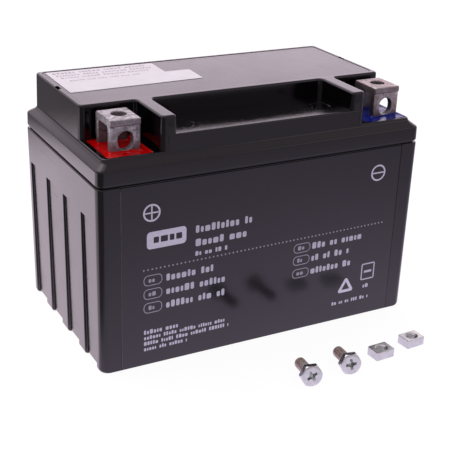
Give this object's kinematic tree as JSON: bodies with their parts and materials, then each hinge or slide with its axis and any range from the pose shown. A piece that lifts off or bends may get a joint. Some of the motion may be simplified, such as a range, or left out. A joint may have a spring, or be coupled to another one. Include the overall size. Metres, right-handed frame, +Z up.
{
  "type": "motorcycle battery",
  "caption": "Sealed block battery for a motorcycle with a stepped lid, channelled ends, recessed corner terminals set in coloured resin, and loose terminal screws and nuts.",
  "frame": {"origin": "centre of the flat base of the case, on the plane the battery stands on", "axes": "+X along the long label face from the positive to the negative terminal, +Y from the label face to the plain back, +Z up"},
  "size_m": [0.15, 0.1309, 0.105],
  "materials": {
    "case_plastic": "satin-gloss black polypropylene with a fine moulded grain",
    "label_film": "glossy dark film label with pale print",
    "label_paper": "matt white paper label",
    "lead_alloy": "cast lead alloy, blotchy grey",
    "epoxy_red": "glossy red sealing resin",
    "epoxy_blue": "glossy blue sealing resin",
    "seal_rubber": "matt black rubber",
    "plated_steel": "bright nickel-plated steel",
    "positive_mass": "brown lead dioxide paste on a lead grid",
    "negative_mass": "grey spongy lead on a lead grid",
    "glass_mat": "white glass-fibre mat",
    "gel": "cloudy silica gel"
  },
  "bodies": {
    "battery": {"case": "case_plastic", "lid": "case_plastic", "front_label": "label_film", "positive_terminal": "lead_alloy", "negative_terminal": "lead_alloy", "positive_epoxy_seal": "epoxy_red", "negative_epoxy_seal": "epoxy_blue", "positive_o_ring": "seal_rubber", "negative_o_ring": "seal_rubber", "positive_plates_1": "positive_mass", "negative_plates_1": "negative_mass", "separator_mat_1": "glass_mat", "gel_electrolyte_1": "gel", "positive_plates_2": "positive_mass", "negative_plates_2": "negative_mass", "separator_mat_2": "glass_mat", "gel_electrolyte_2": "gel", "positive_plates_3": "positive_mass", "negative_plates_3": "negative_mass", "separator_mat_3": "glass_mat", "gel_electrolyte_3": "gel", "positive_plates_4": "positive_mass", "negative_plates_4": "negative_mass", "separator_mat_4": "glass_mat", "gel_electrolyte_4": "gel", "positive_plates_5": "positive_mass", "negative_plates_5": "negative_mass", "separator_mat_5": "glass_mat", "gel_electrolyte_5": "gel", "positive_plates_6": "positive_mass", "negative_plates_6": "negative_mass", "separator_mat_6": "glass_mat", "gel_electrolyte_6": "gel", "cell_weld_1": "lead_alloy", "cell_weld_2": "lead_alloy", "cell_weld_3": "lead_alloy", "cell_weld_4": "lead_alloy", "cell_weld_5": "lead_alloy"},
    "cover": {"cover_plate": "case_plastic", "top_label": "label_paper"},
    "vent_valve_1": {"vent_cap_1": "seal_rubber"},
    "vent_valve_2": {"vent_cap_2": "seal_rubber"},
    "vent_valve_3": {"vent_cap_3": "seal_rubber"},
    "vent_valve_4": {"vent_cap_4": "seal_rubber"},
    "vent_valve_5": {"vent_cap_5": "seal_rubber"},
    "vent_valve_6": {"vent_cap_6": "seal_rubber"},
    "screw_1": {"terminal_screw_1": "plated_steel"},
    "screw_2": {"terminal_screw_2": "plated_steel"},
    "nut_1": {"terminal_nut_1": "plated_steel"},
    "nut_2": {"terminal_nut_2": "plated_steel"}
  },
  "joints": [
    {"name": "cover_lift", "type": "slide", "parent": "battery", "child": "cover", "axis": [0, 0, 1], "range_m": [0, 0.04]},
    {"name": "vent_1_lift", "type": "slide", "parent": "battery", "child": "vent_valve_1", "axis": [0, 0, 1], "range_m": [0, 0.0008]},
    {"name": "vent_2_lift", "type": "slide", "parent": "battery", "child": "vent_valve_2", "axis": [0, 0, 1], "range_m": [0, 0.0008]},
    {"name": "vent_3_lift", "type": "slide", "parent": "battery", "child": "vent_valve_3", "axis": [0, 0, 1], "range_m": [0, 0.0008]},
    {"name": "vent_4_lift", "type": "slide", "parent": "battery", "child": "vent_valve_4", "axis": [0, 0, 1], "range_m": [0, 0.0008]},
    {"name": "vent_5_lift", "type": "slide", "parent": "battery", "child": "vent_valve_5", "axis": [0, 0, 1], "range_m": [0, 0.0008]},
    {"name": "vent_6_lift", "type": "slide", "parent": "battery", "child": "vent_valve_6", "axis": [0, 0, 1], "range_m": [0, 0.0008]},
    {"name": "screw_1_pick_up", "type": "slide", "parent": "battery", "child": "screw_1", "axis": [0, 0, 1], "range_m": [0, 0.12]},
    {"name": "screw_2_pick_up", "type": "slide", "parent": "battery", "child": "screw_2", "axis": [0, 0, 1], "range_m": [0, 0.12]},
    {"name": "nut_1_pick_up", "type": "slide", "parent": "battery", "child": "nut_1", "axis": [0, 0, 1], "range_m": [0, 0.12]},
    {"name": "nut_2_pick_up", "type": "slide", "parent": "battery", "child": "nut_2", "axis": [0, 0, 1], "range_m": [0, 0.12]}
  ]
}
